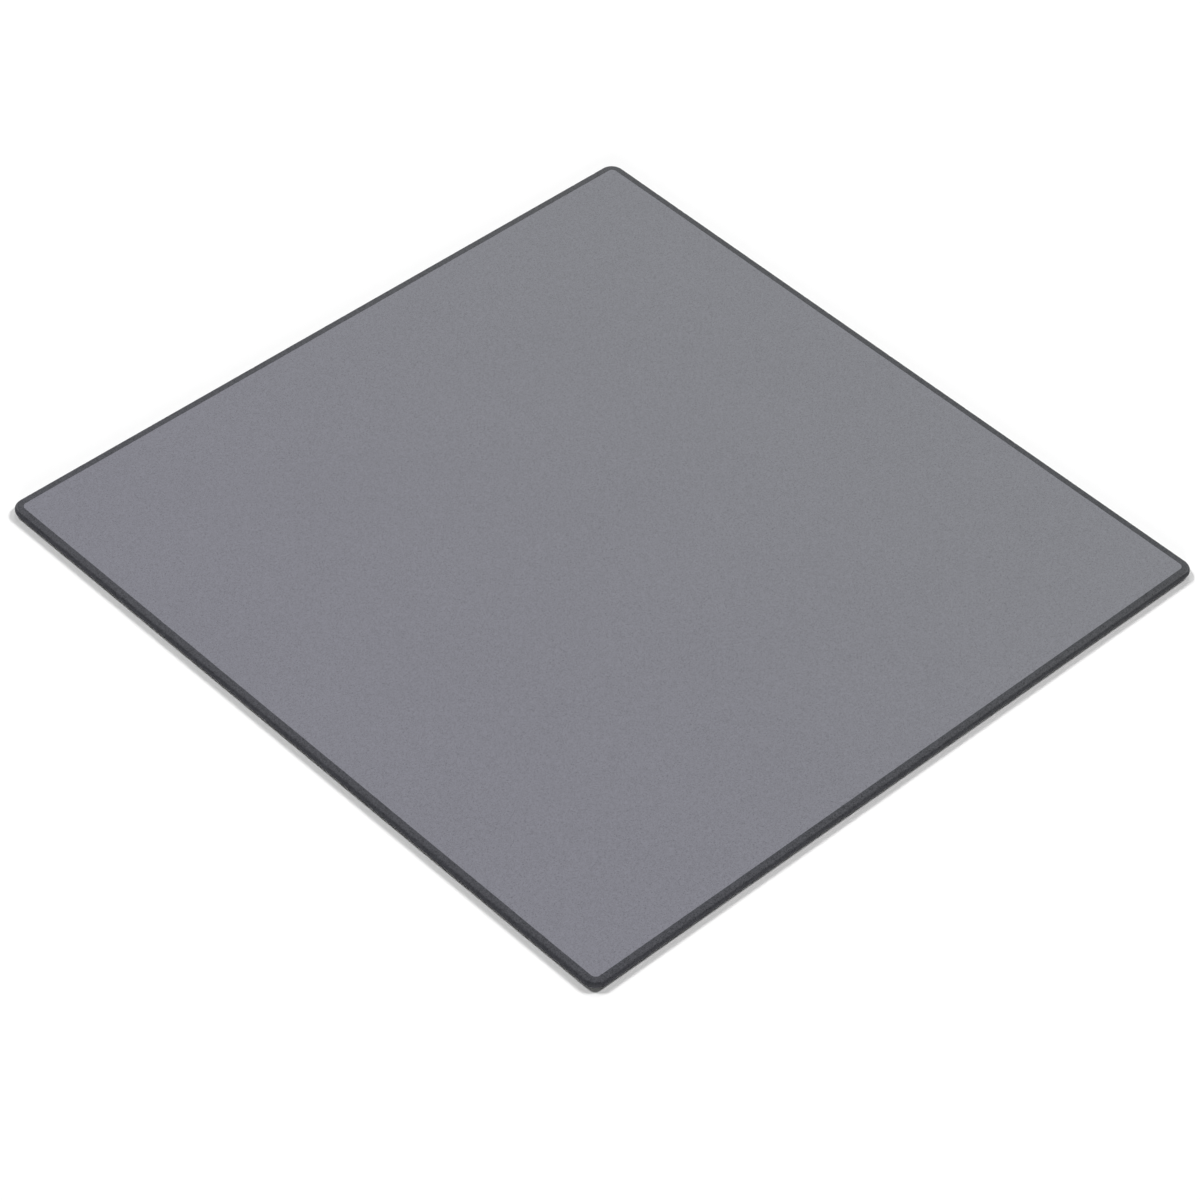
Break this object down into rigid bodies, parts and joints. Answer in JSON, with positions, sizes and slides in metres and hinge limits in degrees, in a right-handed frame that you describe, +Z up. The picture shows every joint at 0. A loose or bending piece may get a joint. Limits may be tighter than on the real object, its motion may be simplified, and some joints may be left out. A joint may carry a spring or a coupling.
{
  "type": "granite slab",
  "caption": "Thin square granite slab with a honed top, a polished eased rim and rounded corners, on thin stick-on rubber feet, as a hard flat base for cutting, skiving and tooling leather.",
  "frame": {"origin": "under the slab's centre, on the surface that the feet stand on", "axes": "+Z up, out of the honed top face; X and Y along the slab's sides, with the front towards -Y; the slab is the same after a quarter turn about Z"},
  "size_m": [0.6, 0.6, 0.0056],
  "materials": {
    "granite": "satin",
    "foot_rubber": "matte",
    "foot_adhesive": "satin"
  },
  "bodies": {
    "root": {"granite_slab": "granite", "foot_front_left": "foot_rubber", "foot_front_right": "foot_rubber", "foot_back_left": "foot_rubber", "foot_back_right": "foot_rubber", "adhesive_disc_front_left": "foot_adhesive", "adhesive_disc_front_right": "foot_adhesive", "adhesive_disc_back_left": "foot_adhesive", "adhesive_disc_back_right": "foot_adhesive"}
  },
  "joints": []
}
